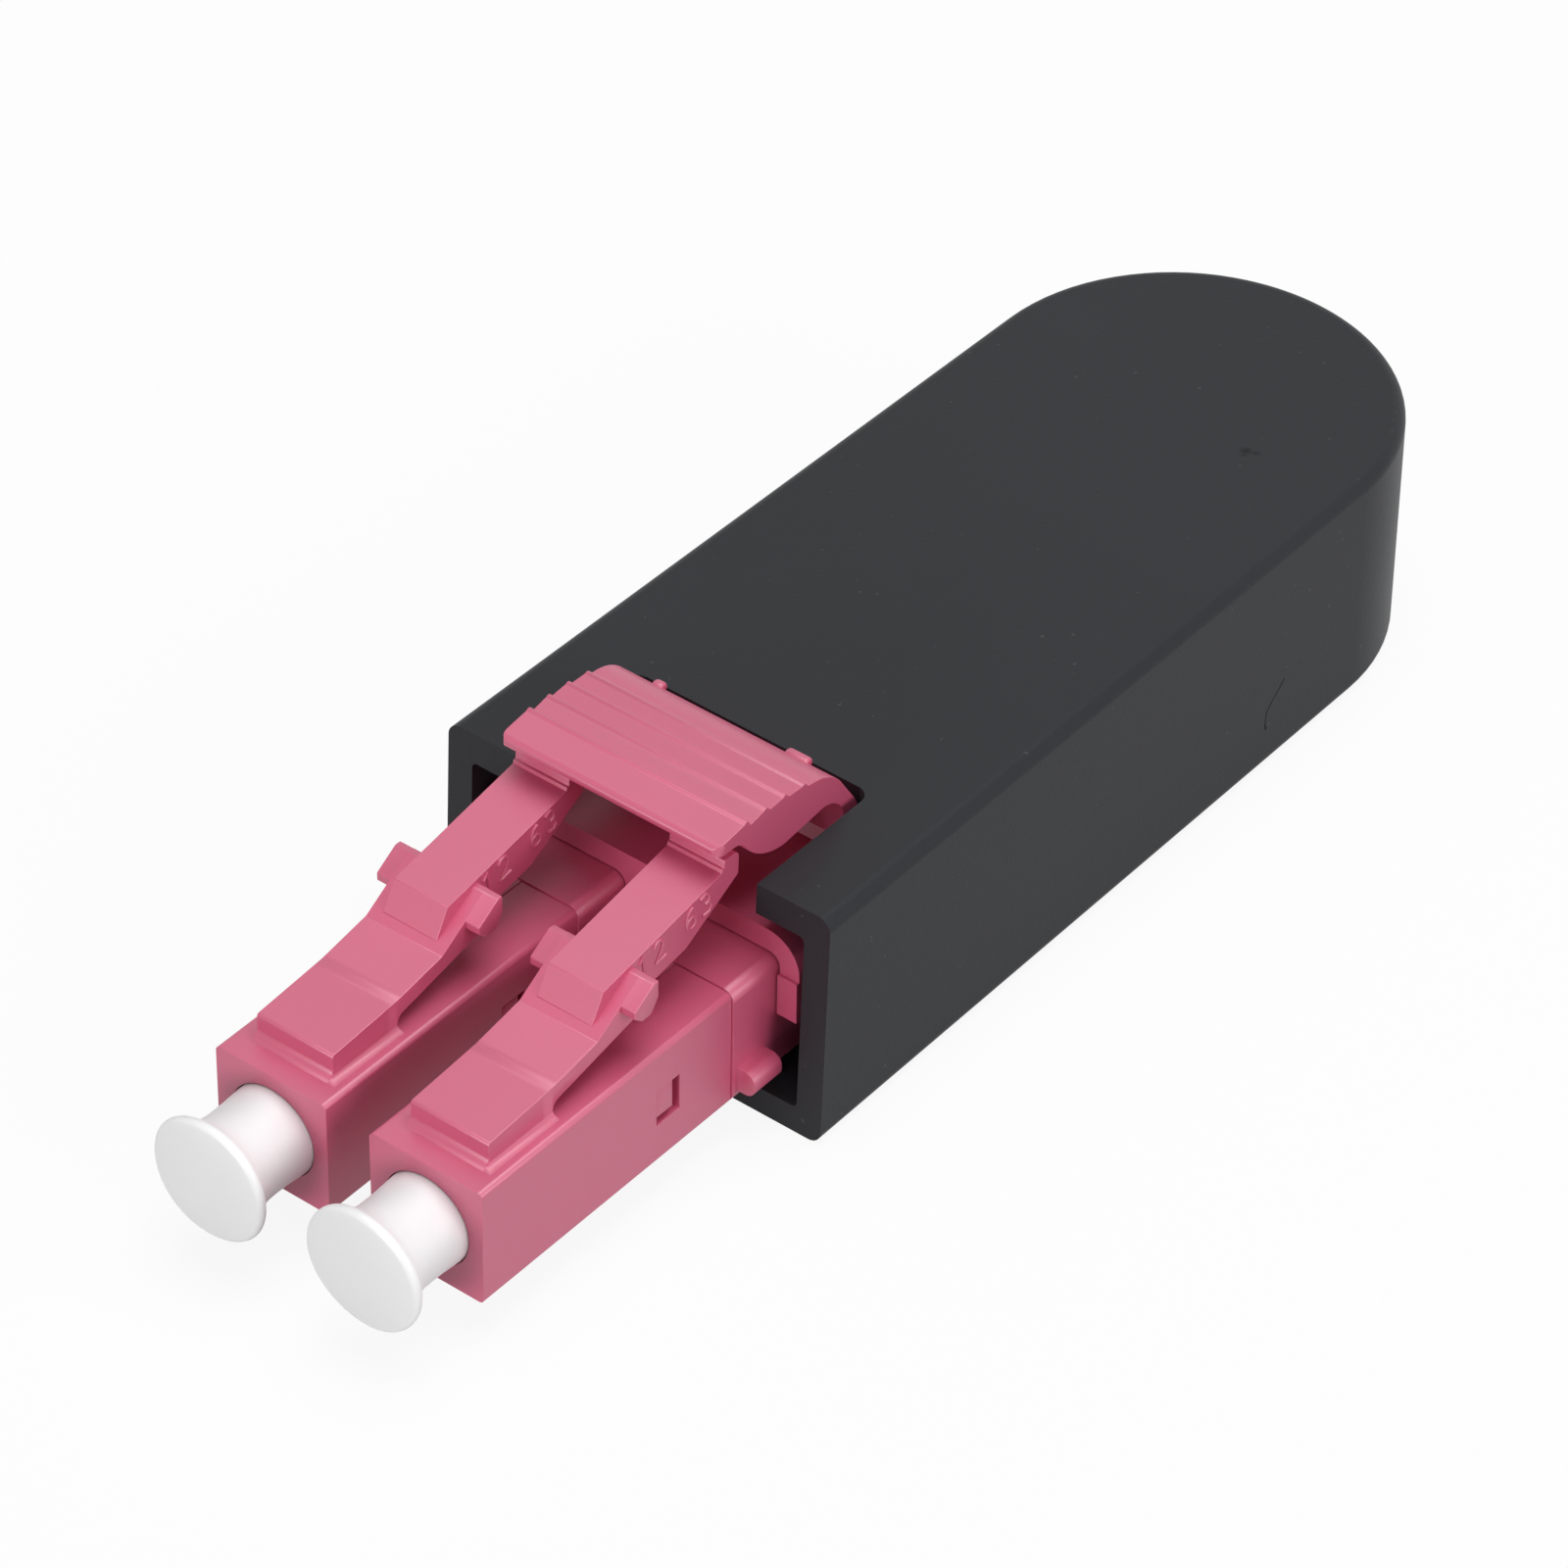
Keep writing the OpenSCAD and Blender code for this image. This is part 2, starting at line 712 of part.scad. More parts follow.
function loop_route() =
    let (bend_r = 10,
        swing = acos(1 - (loop_r - pitch / 2) / (2 * bend_r)),
        s_end = end_y - 2,
        s_start = s_end - 2 * bend_r * sin(swing),
        arm = concat([[pitch / 2, fibre_front, 90], [pitch / 2, s_start, 90]],
            arc_route(pitch / 2 + bend_r, s_start, bend_r, 180, 180 - swing, 5),
            arc_route(loop_r - bend_r, s_end, bend_r, -swing, 0, 5)),
        back = [for (i = [len(arm) - 1 : -1 : 0]) [-arm[i][0], arm[i][1], 360 - arm[i][2]]])
        concat(arm, [[loop_r, end_y, 90]], arc_route(0, end_y, loop_r, 0, 180, 24), back);

module fibre_loop() {
    route = loop_route();
    sides = 8;
    r = fibre_d / 2;
    rings = len(route) - 1;
    points = [for (p = route, k = [0 : sides - 1])
        let (w = k * 360 / sides)
            [p[0] + r * cos(w) * sin(p[2]), p[1] - r * cos(w) * cos(p[2]), r * sin(w)]];
    color([0.3, 0.75, 0.8])
        translate([0, 0, axis_z])
            polyhedron(points, tube_faces(rings, sides));
}

// ---- dust caps -----------------------------------------------------------------------------

// Mushroom cap: a barrel in the nose, a concave flare and a flange with a softly domed front
module dust_cap(side) {
    barrel_r = nose_bore_d / 2 - slip_gap;
    neck = barrel_r - 0.12;
    lead_in = 0.3;
    flange_r = cap_flange_d / 2;
    flare = flange_r - neck;
    rim = 0.45;
    dome = 0.2;
    dome_r = (flange_r * flange_r + dome * dome) / (2 * dome);
    front = dome - cap_out;
    flare_end = front + rim + flare;
    inside = 3;
    tip_room = 0.4;
    color(cap_white)
        on_axis(side)
            difference() {
                translate([0, nose_y, 0])
                    rotate([-90, 0, 0])
                        rotate_extrude()
                            difference() {
                                polygon([[0, front], [flange_r, front], [flange_r, flare_end],
                                    [neck, flare_end], [barrel_r, -lead_in],
                                    [barrel_r, inside - lead_in], [barrel_r - lead_in, inside],
                                    [0, inside]]);
                                translate([flange_r, flare_end])
                                    circle(flare);
                            }
                bar(ferrule_r + slip_gap, ferrule_front - tip_room, nose_y + inside + 1);
            }
    color(cap_white)
        on_axis(side)
            translate([0, nose_y - cap_out + dome_r, 0])
                intersection() {
                    sphere(dome_r);
                    bar(flange_r, -dome_r, -dome_r + dome + eps);
                }
}

housing();
duplex_clip();
trigger();
plug_body(-1);  // plug_body_left
plug_body(1);  // plug_body_right
latch(-1);  // latch_left
latch(1);  // latch_right
rear_body(-1);  // rear_body_left
rear_body(1);  // rear_body_right
ferrule(-1);  // ferrule_left
ferrule(1);  // ferrule_right
ferrule_holder(-1);  // ferrule_holder_left
ferrule_holder(1);  // ferrule_holder_right
spring(-1);  // spring_left
spring(1);  // spring_right
boot(-1);  // boot_left
boot(1);  // boot_right
fibre_loop();
dust_cap(-1);  // dust_cap_left
dust_cap(1);  // dust_cap_right
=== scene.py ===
import math

import bmesh
import bpy
from mathutils import Matrix, Vector


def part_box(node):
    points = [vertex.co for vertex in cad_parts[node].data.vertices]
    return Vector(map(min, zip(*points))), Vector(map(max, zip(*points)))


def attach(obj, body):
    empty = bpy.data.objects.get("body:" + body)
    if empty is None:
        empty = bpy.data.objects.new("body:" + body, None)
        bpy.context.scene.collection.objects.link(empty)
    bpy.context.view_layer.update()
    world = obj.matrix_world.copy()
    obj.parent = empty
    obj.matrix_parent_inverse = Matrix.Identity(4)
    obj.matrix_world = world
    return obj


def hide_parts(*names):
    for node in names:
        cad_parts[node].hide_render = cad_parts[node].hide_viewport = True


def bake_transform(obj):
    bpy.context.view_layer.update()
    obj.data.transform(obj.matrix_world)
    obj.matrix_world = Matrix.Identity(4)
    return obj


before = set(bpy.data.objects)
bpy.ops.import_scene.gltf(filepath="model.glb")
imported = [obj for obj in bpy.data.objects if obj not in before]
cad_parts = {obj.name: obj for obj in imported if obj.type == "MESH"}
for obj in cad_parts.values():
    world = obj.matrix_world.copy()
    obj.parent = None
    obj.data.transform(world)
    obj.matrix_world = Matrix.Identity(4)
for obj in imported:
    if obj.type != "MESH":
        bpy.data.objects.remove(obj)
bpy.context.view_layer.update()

# ---- camera --------------------------------------------------------------------------------
# A long lens looks down on the plug from its front right, a quarter of a metre away, and is
# turned a little about its own line.
mm = 0.001


def at(x, y, z):
    """A point given in millimetres, in metres."""
    return Vector((x * mm, y * mm, z * mm))


azimuth, elevation, camera_roll = math.radians(38.19), math.radians(39.57), math.radians(0.875)
distance = 248
look_at = at(-0.94, -1.0, 4.5)
view_line = Vector((math.sin(azimuth) * math.cos(elevation),
                    -math.cos(azimuth) * math.cos(elevation), math.sin(elevation)))
camera = bpy.data.objects.new("camera", bpy.data.cameras.new("camera"))
camera.location = look_at + distance * mm * view_line
camera.rotation_euler = (view_line.to_track_quat("Z", "Y").to_matrix()
                         @ Matrix.Rotation(camera_roll, 3, "Z")).to_euler()
camera.data.lens = 176.06
camera.data.sensor_width = 36
camera.data.clip_start = 0.01
camera.data.clip_end = 20
bpy.context.scene.collection.objects.link(camera)
bpy.context.scene.camera = camera
bpy.context.scene.view_settings.view_transform = "Standard"

# ---- studio --------------------------------------------------------------------------------
# The plug lies on a large white sheet, lit by a wide lamp overhead, one low on the right and a
# small one low in front. The white room fills the rest.


class Shade:
    """A number, colour or vector on its way through a material, written as an expression."""

    def __init__(self, finish, socket):
        self.finish, self.socket = finish, socket

    def worked(self, operation, *values):
        """One Math node's result."""
        return self.finish.node("ShaderNodeMath", {"operation": operation},
                                dict(enumerate(values)))

    def __add__(self, other):
        return self.worked("ADD", self, other)

    def __radd__(self, other):
        return self.worked("ADD", other, self)

    def __sub__(self, other):
        return self.worked("SUBTRACT", self, other)

    def __rsub__(self, other):
        return self.worked("SUBTRACT", other, self)

    def __mul__(self, other):
        return self.worked("MULTIPLY", self, other)

    def __rmul__(self, other):
        return self.worked("MULTIPLY", other, self)


class Finish:
    """A material, or the world, and the nodes that make it."""

    def __init__(self, name, tree=None):
        if tree is None:
            self.material = bpy.data.materials.new(name)
            self.material.use_nodes = True
            tree = self.material.node_tree
        tree.nodes.clear()
        self.tree = tree

    def node(self, kind, settings=None, inputs=None, output=0):
        """Any node: its settings first, then its sockets, by name or by number."""
        made = self.tree.nodes.new(kind)
        for name, value in (settings or {}).items():
            if name == "stops":
                ramp = made.color_ramp.elements
                while len(ramp) < len(value):
                    ramp.new(0.5)
                for element, (place, colour) in zip(ramp, value):
                    element.position, element.color = place, colour
            else:
                setattr(made, name, value)
        for name, value in (inputs or {}).items():
            if isinstance(value, Shade):
                self.tree.links.new(value.socket, made.inputs[name])
            else:
                made.inputs[name].default_value = value
        return Shade(self, made.outputs[output])

    def mixed(self, factor, first, second):
        """Mixes two colours."""
        return self.node("ShaderNodeMix", {"data_type": "RGBA"},
                         {0: factor, 6: first, 7: second}, output=2)

    def rays(self):
        """1 for a ray from the eye, from a mirror and through glass, and 0 for any other."""
        return [self.node("ShaderNodeLightPath", output=name)
                for name in ("Is Camera Ray", "Is Glossy Ray", "Is Transmission Ray")]

    def place(self):
        """Where a point is on the object, in metres."""
        return self.node("ShaderNodeTexCoord", output="Object")

    def noise(self, scale, detail=2.0, rough=0.5):
        """Smooth noise from 0 to 1; scale counts per metre."""
        return self.node("ShaderNodeTexNoise", {}, {"Vector": self.place(), "Scale": scale,
                                                    "Detail": detail, "Roughness": rough})

    def ramp(self, factor, *stops):
        """Numbers at places from 0 to 1, with straight lines between them."""
        return self.node("ShaderNodeValToRGB",
                         {"stops": [(p, (v, v, v, 1)) for p, v in stops]}, {"Fac": factor})

    def bump(self, height, depth, under=None):
        """Turns a height from 0 to 1 into relief that is depth millimetres high."""
        inputs = {"Strength": 1.0, "Distance": depth * mm, "Height": height}
        if under:
            inputs["Normal"] = under
        return self.node("ShaderNodeBump", {}, inputs)

    def done(self, shader, kind="ShaderNodeOutputMaterial"):
        """Ends the tree with its shader, and returns the material."""
        end = self.tree.nodes.new(kind)
        self.tree.links.new(shader.socket, end.inputs["Surface"])
        return getattr(self, "material", None)


# The sheet shows white to the eye and to whatever mirrors it, and keeps a soft shadow.
paper = Finish("white_sheet")
eye, mirror, glass = paper.rays()
matt = paper.node("ShaderNodeBsdfDiffuse", {}, {
    "Color": paper.mixed(eye + mirror + glass, (0.4, 0.4, 0.4, 1), (0.95, 0.95, 0.95, 1))})
bright = paper.node("ShaderNodeEmission", {}, {"Strength": 1.0})
sheet_half, sheet_z = 1500, -0.02
sheet_mesh = bpy.data.meshes.new("sheet")
sheet_mesh.from_pydata([at(x * sheet_half, y * sheet_half, sheet_z)
                        for x, y in ((-1, -1), (1, -1), (1, 1), (-1, 1))],
                       [], [(0, 1, 2, 3)])
sheet_mesh.materials.append(paper.done(paper.node("ShaderNodeMixShader", {}, {
    0: eye * 0.9 + (mirror + glass) * 0.4, 1: matt, 2: bright})))
sheet = bpy.data.objects.new("sheet", sheet_mesh)
bpy.context.scene.collection.objects.link(sheet)

world = bpy.data.worlds.new("room")
world.use_nodes = True
room = Finish("room", world.node_tree)
eye, mirror, glass = room.rays()
fill = room.node("ShaderNodeBackground", {}, {"Color": (1, 1, 1, 1), "Strength": 0.12})
white = room.node("ShaderNodeBackground", {}, {"Color": (1, 1, 1, 1), "Strength": 1.0})
room.done(room.node("ShaderNodeMixShader", {}, {0: eye + mirror + glass, 1: fill, 2: white}),
          "ShaderNodeOutputWorld")
bpy.context.scene.world = world


def soft_lamp(name, place, width, height, power):
    """A rectangular lamp that faces the plug, its size in metres and its power in watts."""
    lamp = bpy.data.lights.new(name, "AREA")
    lamp.shape, lamp.size, lamp.size_y, lamp.energy = "RECTANGLE", width, height, power
    stand = bpy.data.objects.new(name, lamp)
    stand.location = place
    stand.rotation_euler = (place - look_at).to_track_quat("Z", "Y").to_euler()
    bpy.context.scene.collection.objects.link(stand)


soft_lamp("lamp_over", at(40, 60, 560), 0.45, 0.45, 2.27)
soft_lamp("lamp_right", at(430, 10, 160), 0.3, 0.2, 0.92)
soft_lamp("lamp_front", at(0, -500, 60), 0.2, 0.12, 1.15)

# ---- connectors ----------------------------------------------------------------------------
# The plug bodies and the rear bodies that snap into them are moulded in pink PBT, in steel
# moulds that leave sharp, barely rounded edges. A little light goes into the plastic.


def tone(red, green, blue):
    """A colour as it is seen, from 0 to 255, in the linear values that shaders take."""
    return tuple((c / 255 / 12.92) if c <= 10 else ((c / 255 + 0.055) / 1.055) ** 2.4
                 for c in (red, green, blue)) + (1.0,)


def softened(node, edge):
    """A CAD node's form with its edges broken by edge millimetres, as a mould leaves them."""
    weld, flat, sharp = 0.0001 * mm, math.radians(0.5), math.radians(30)
    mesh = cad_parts[node].data.copy()
    form = bmesh.new()
    form.from_mesh(mesh)
    bmesh.ops.remove_doubles(form, verts=form.verts, dist=weld)
    bmesh.ops.dissolve_limit(form, angle_limit=flat, verts=form.verts, edges=form.edges)
    rims = [e for e in form.edges if len(e.link_faces) == 2 and e.calc_face_angle(0) > sharp]
    bmesh.ops.bevel(form, geom=rims, offset=edge * mm, segments=2, profile=0.6,
                    affect="EDGES", clamp_overlap=True)
    form.to_mesh(mesh)
    form.free()
    return mesh


def placed(name, mesh, material, bodies, nodes, bend=None):
    """Puts a finished mesh in the scene on its body; one given bend ends is put on no body, and
    its place is baked into its mesh.
    """
    mesh.materials.clear()
    mesh.materials.append(material)
    mesh.polygons.foreach_set("material_index", [0] * len(mesh.polygons))
    mesh.shade_smooth()
    mesh.set_sharp_from_angle(angle=math.radians(38))
    piece = bpy.data.objects.new(name, mesh)
    bpy.context.scene.collection.objects.link(piece)
    even = piece.modifiers.new("flats", "WEIGHTED_NORMAL")
    even.keep_sharp, even.weight = True, 60
    if bend:
        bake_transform(piece)
    else:
        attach(piece, bodies)
    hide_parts(*nodes)


pbt = Finish("connector_pink")
cloud = pbt.noise(140, 3)
grain = pbt.noise(6000, 2, 0.6)
pink = pbt.done(pbt.node("ShaderNodeBsdfPrincipled", {}, {
    "Base Color": pbt.mixed(cloud, tone(199, 81, 115), tone(204, 86, 121)),
    "Roughness": 0.36 + cloud * 0.1, "Specular IOR Level": 1.0, "Coat Weight": 0.2,
    "Coat Roughness": 0.35, "Subsurface Weight": 0.1, "Subsurface Scale": 0.4 * mm,
    "Normal": pbt.bump(grain, 0.003)}))
for side in ("left", "right"):
    for kind in ("plug_body_", "rear_body_"):
        placed(kind + side + "_moulding", softened(kind + side, edge=0.06), pink,
               "shell", [kind + side])

# ---- latches -------------------------------------------------------------------------------
# Each latch is moulded on its plug body. Its foot stands in a fillet on the plug's top, the arm
# thins and bends behind the foot, and the lugs, the raised block and the tail follow, with the
# hook under the trigger at the end. Raised mould numbers stand on the tail's right side.
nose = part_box("plug_body_right")[0][1] / mm
pitch, axis_z, plug_w = 6.25, 3.8, 4.5
plug_top = axis_z + plug_w / 2


def rounded(corners, steps=5):
    """An outline from corners (along, up, radius), with the arc of each radius put in."""
    share = 0.48  # of a side that an arc may take, so that two never meet on it
    points = []
    for i, (y, z, radius) in enumerate(corners):
        here = Vector((y, z))
        if radius == 0:
            points.append(here)
            continue
        back = Vector(corners[i - 1][:2]) - here
        on = Vector(corners[(i + 1) % len(corners)][:2]) - here
        half = back.angle(on) / 2
        reach = min(radius / math.tan(half), back.length * share, on.length * share)
        middle = here + (back.normalized() + on.normalized()).normalized() \
            * (reach / math.cos(half))
        first = here + back.normalized() * reach - middle
        last = here + on.normalized() * reach - middle
        sweep = first.angle(last)
        for k in range(steps + 1):
            part = k / steps
            points.append(middle + (first * math.sin((1 - part) * sweep)
                                    + last * math.sin(part * sweep)) / math.sin(sweep))
    return points


def skinned(form, rings):
    """Joins rings of points into a skin that is closed at both ends, and returns the ends."""
    ends = [form.faces.new(rings[0][::-1]), form.faces.new(rings[-1])]
    for first, second in zip(rings, rings[1:]):
        for i in range(len(first)):
            form.faces.new((first[i - 1], first[i], second[i], second[i - 1]))
    return ends


def bar(outline, low, high, edge=0, steps=2):
    """A solid from a Y-Z outline, drawn out along X, with its two end faces' edges rounded."""
    form = bmesh.new()
    ends = skinned(form, [[form.verts.new((x, y, z)) for y, z in outline]
                          for x in (low, high)])
    bmesh.ops.recalc_face_normals(form, faces=form.faces)
    if edge:
        bmesh.ops.bevel(form, geom=[e for f in ends for e in f.edges], offset=edge,
                        segments=steps, profile=0.5, affect="EDGES", clamp_overlap=True)
    return form


def as_mesh(form, name):
    """The finished form as a mesh."""
    mesh = bpy.data.meshes.new(name)
    form.to_mesh(mesh)
    form.free()
    return mesh


def combined(operation, first, *others):
    """The solids joined into one, or cut down to what they share."""
    weld = 0.0001
    stock = [bpy.data.objects.new("stock", as_mesh(f, "stock")) for f in (first, *others)]
    for piece in stock:
        bpy.context.scene.collection.objects.link(piece)
    for other in stock[1:]:
        step = stock[0].modifiers.new("step", "BOOLEAN")
        step.operation, step.solver, step.object = operation, "EXACT", other
    bpy.context.view_layer.update()
    form = bmesh.new()
    form.from_mesh(stock[0].evaluated_get(bpy.context.evaluated_depsgraph_get()).data)
    for piece in stock:
        bpy.data.meshes.remove(piece.data)
    bmesh.ops.remove_doubles(form, verts=form.verts, dist=weld)
    return form


def ringed(form, across, places):
    """Cuts a ring of edges at each place along a direction, where the piece bends."""
    for place in places:
        bmesh.ops.bisect_plane(form, geom=form.verts[:] + form.edges[:] + form.faces[:],
                               plane_co=across * place, plane_no=across)


def foot_fillet(half_width, front, back, radius, sink):
    """The concave fillet round the front and both sides of the foot, at the plug's top."""
    overlap = 0.05
    hollow = [(0, -sink), (0, radius)] + [
        (radius - radius * math.cos(a), radius - radius * math.sin(a))
        for a in [math.radians(15 * k) for k in range(1, 7)]] + [(radius, -sink)]
    form = bmesh.new()
    rings = []
    for x, y, out_x, out_y in ((-half_width, back, -1, 0), (-half_width, front, -1, -1),
                               (half_width, front, 1, -1), (half_width, back, 1, 0)):
        rings.append([form.verts.new((x + out_x * (out - overlap), y + out_y * (out - overlap),
                                      z)) for out, z in hollow])
    skinned(form, rings)
    bmesh.ops.recalc_face_normals(form, faces=form.faces)
    return form


def raised_stroke(form, path, radius):
    """A round raised line through points on a side that faces +X, for a moulded figure."""
    out = Vector((1, 0, 0))
    rings = []
    for i, point in enumerate(path):
        run = (path[min(i + 1, len(path) - 1)] - path[max(i - 1, 0)]).normalized()
        up = run.cross(out)
        rings.append([form.verts.new(point + radius * (out * math.cos(a) + up * math.sin(a)))
                      for a in [math.radians(60 * k) for k in range(6)]])
    skinned(form, rings)


# Each figure's strokes stand in a box that is 1 wide and 1 high.
figures = {
    "1": [[(0.15, 0.75), (0.5, 1), (0.5, 0)]],
    "2": [[(0.1, 0.8), (0.25, 0.96), (0.5, 1), (0.8, 0.92), (0.9, 0.72), (0.75, 0.48),
           (0.05, 0), (0.95, 0)]],
    "3": [[(0.1, 0.95), (0.6, 1), (0.88, 0.78), (0.75, 0.57), (0.45, 0.52)],
          [(0.45, 0.52), (0.8, 0.45), (0.92, 0.22), (0.65, 0.01), (0.1, 0.05)]],
    "6": [[(0.8, 1), (0.4, 0.85), (0.1, 0.45), (0.12, 0.15), (0.45, 0), (0.82, 0.1),
           (0.9, 0.35), (0.65, 0.55), (0.3, 0.5), (0.1, 0.3)]],
}
figure_starts = (("1", 8.8), ("2", 9.55), ("6", 11.05), ("3", 11.8))
figure_z, figure_w, figure_h, stroke_r = 2.06, 0.55, 0.8, 0.065
slope = math.radians(9.96)
across = figure_w * Vector((0, math.cos(slope), math.sin(slope)))
upward = figure_h * Vector((0, -math.sin(slope), math.cos(slope)))
arm_half, lug_half, tail_half = 1.56, 2.1, 1.1
arm_edge, lug_edge, tail_edge = 0.06, 0.26, 0.05
foot_front = 1.14
hinge_y, hinge_z = 4.15, 0.75
bend_front, bend_rear = hinge_y - 0.5, hinge_y + 0.9
# Outlines run along the plug from its nose and up from its top, with a radius at each corner.
arm_outline = rounded([
    (foot_front, -0.15, 0), (foot_front, 0.88, 0.12), (4.15, 1.11, 1.2), (6.26, 1.48, 0.12),
    (8.3, 2.75, 0.12), (8.55, 2.75, 0.04), (8.55, 1.35, 0.04), (6.8, 0.98, 0.6),
    (4.16, 0.42, 0.34), (4.16, -0.15, 0)])
lug_outline = rounded([
    (7.4, 1.9, 0.05), (7.4, 2.18, 0.08), (8.3, 2.75, 0.12), (8.55, 2.75, 0.06),
    (8.55, 2.1, 0.15), (8.2, 1.6, 0.15), (7.75, 1.6, 0.15)])
tail_outline = rounded([
    (6.55, 1.3, 0), (6.55, 1.7, 0.02), (7.1, 2.68, 0.07), (12.82, 3.685, 0.02),
    (12.82, 3.81, 0.03), (12.93, 3.83, 0.02), (12.95, 4.1, 0.06), (13.66, 4.1, 0.22),
    (13.62, 3.19, 0.1), (11.07, 1.79, 0.5), (8.55, 1.4, 0), (8.3, 1.3, 0)])
for side, sign in (("left", -1), ("right", 1)):
    latch = combined("UNION", bar(arm_outline, -arm_half, arm_half, arm_edge),
                     foot_fillet(arm_half, foot_front, back=4.1, radius=0.35, sink=0.1),
                     bar(lug_outline, -lug_half, lug_half, lug_edge, steps=4),
                     bar(tail_outline, -tail_half, tail_half, tail_edge))
    ringed(latch, Vector((0, 1, 0)), (3.6, 3.8, 4.0, 4.2, 4.4, 4.6, 4.8, 5.0, 5.2))
    for figure, start in figure_starts:
        rise = (start - figure_starts[0][1]) * math.sin(slope)
        corner = Vector((tail_half, start, figure_z + rise))
        for stroke in figures[figure]:
            raised_stroke(latch, [corner + across * u + upward * v for u, v in stroke],
                          stroke_r)
    x = sign * pitch / 2
    latch.transform(Matrix.Scale(mm, 4) @ Matrix.Translation((x, nose, plug_top)))
    placed("latch_" + side + "_moulding", as_mesh(latch, "latch"), pink,
           ("shell", "arm_" + side), ["latch_" + side],
           (at(x, nose + bend_front, plug_top + hinge_z),
            at(x, nose + bend_rear, plug_top + hinge_z)))

# ---- clip and trigger ----------------------------------------------------------------------
# One moulding grips both rear bodies and carries the trigger: a thin leg at the clip's rear
# edge, which bends, a round heel, the crown with its four grip ridges, and the lip that presses
# the latch tails. Two gate marks stand on the heel.
placed("clip_moulding", softened("duplex_clip", edge=0.07), pink, "shell",
       ["duplex_clip"])


def arc(circle, start, end, steps):
    """Points on a circle (along, up, radius), from one angle to the next, in degrees."""
    y, z, radius = circle
    return [(y + radius * math.cos(a), z + radius * math.sin(a))
            for a in [math.radians(start + (end - start) * k / steps) for k in range(steps + 1)]]


def turned(point, circle):
    """The angle of a point about a circle's centre, in degrees from +Y towards +Z."""
    return math.degrees(math.atan2(point[1] - circle[1], point[0] - circle[0]))


# Circles are (along, up, radius), and the points are where their arcs end.
lip, heel, arch = (12.59, 10.85, 0.23), (16.85, 8.76, 2.0), (17.6, 8.3, 1.08)
belly, throat = (15.75, 11.55, 2.37), (13.148, 9.92, 0.7)
crown_rear, heel_rear, arch_front = (16.95, 10.757), (18.538, 9.832), (17.369, 9.355)
belly_rear, belly_front = (15.75, 9.18), (13.745, 10.287)
trigger_half = 4.4
# The crown has one line for each of its four ridges.
crown = rounded([
    (lip[0], lip[1] + lip[2], 0),
    (13.68, 11.215, 0.1), (13.77, 11.275, 0.05), (13.86, 11.265, 0.06), (14.0, 11.04, 0.06),
    (14.64, 11.165, 0.1), (14.72, 11.215, 0.05), (14.81, 11.205, 0.05), (14.95, 11.05, 0.05),
    (15.59, 11.095, 0.1), (15.67, 11.145, 0.05), (15.76, 11.13, 0.05), (15.9, 10.965, 0.05),
    (16.54, 10.94, 0.1), (16.62, 10.98, 0.05), (16.71, 10.955, 0.05), (16.85, 10.79, 0.04),
    (*crown_rear, 0)], 3)[1:-1]
leg_front, leg_rear, leg_low, leg_high = 18.68, 19.38, 7.2, 7.95
leg_edge = 0.012
leg = rounded([(*heel_rear, 0), (leg_rear + leg_edge, 8.511, 1.0),
               (leg_rear + leg_edge, leg_low, 0), (leg_front - leg_edge, leg_low, 0),
               (leg_front, arch[1], 0)])[1:-1]
trigger_outline = (
    arc(lip, 270, 80, 8) + [*crown]
    + arc(heel, turned(crown_rear, heel), turned(heel_rear, heel), 10) + [*leg]
    + arc(arch, 0, turned(arch_front, arch), 10)
    + arc(belly, turned(belly_rear, belly), turned(belly_front, belly), 10)
    + arc(throat, turned(belly_front, throat), 90, 6)[1:])
# Seen from above, the trigger's two front corners are round.
plan = bmesh.new()
plan_front, plan_rear, corner_r = 12.3, 20, 0.45
plan_outline = rounded([(-trigger_half, plan_front, corner_r),
                        (trigger_half, plan_front, corner_r),
                        (trigger_half, plan_rear, 0), (-trigger_half, plan_rear, 0)], 6)
skinned(plan, [[plan.verts.new((x, y, z)) for x, y in plan_outline] for z in (6, 13)])
bmesh.ops.recalc_face_normals(plan, faces=plan.faces)
trigger = combined("INTERSECT", bar(trigger_outline, -trigger_half - 0.2, trigger_half + 0.2),
                   plan)
rims = [e for e in trigger.edges if len(e.link_faces) == 2
        and e.calc_face_angle(0) > math.radians(50)
        and min(abs(v.co.x) for v in e.verts) > 0.8 * trigger_half]
bmesh.ops.bevel(trigger, geom=rims, offset=0.06, segments=2, profile=0.5, affect="EDGES",
                clamp_overlap=True)
ringed(trigger, Vector((0, 0, 1)), (7.3, 7.5, 7.7, 7.9, 8.1))
mark_y, mark_z, mark_along, mark_up = 18.3, 10.12, 0.24, 0.2
gate_marks = [
    bar([(mark_y + mark_along * math.cos(a), mark_z + mark_up * math.sin(a))
         for a in [math.radians(30 * k) for k in range(12)]],
        x - half, x + half, edge=0.1, steps=3)
    for x, half in ((-2.82, 0.2), (2.82, 0.45))]
trigger = combined("UNION", trigger, *gate_marks)
trigger.transform(Matrix.Scale(mm, 4) @ Matrix.Translation((0, nose, 0)))
leg_y = nose + (leg_front + leg_rear) / 2
placed("trigger_moulding", as_mesh(trigger, "trigger"), pink,
       ("shell", "lever"), ["trigger"], (at(0, leg_y, leg_low), at(0, leg_y, leg_high)))
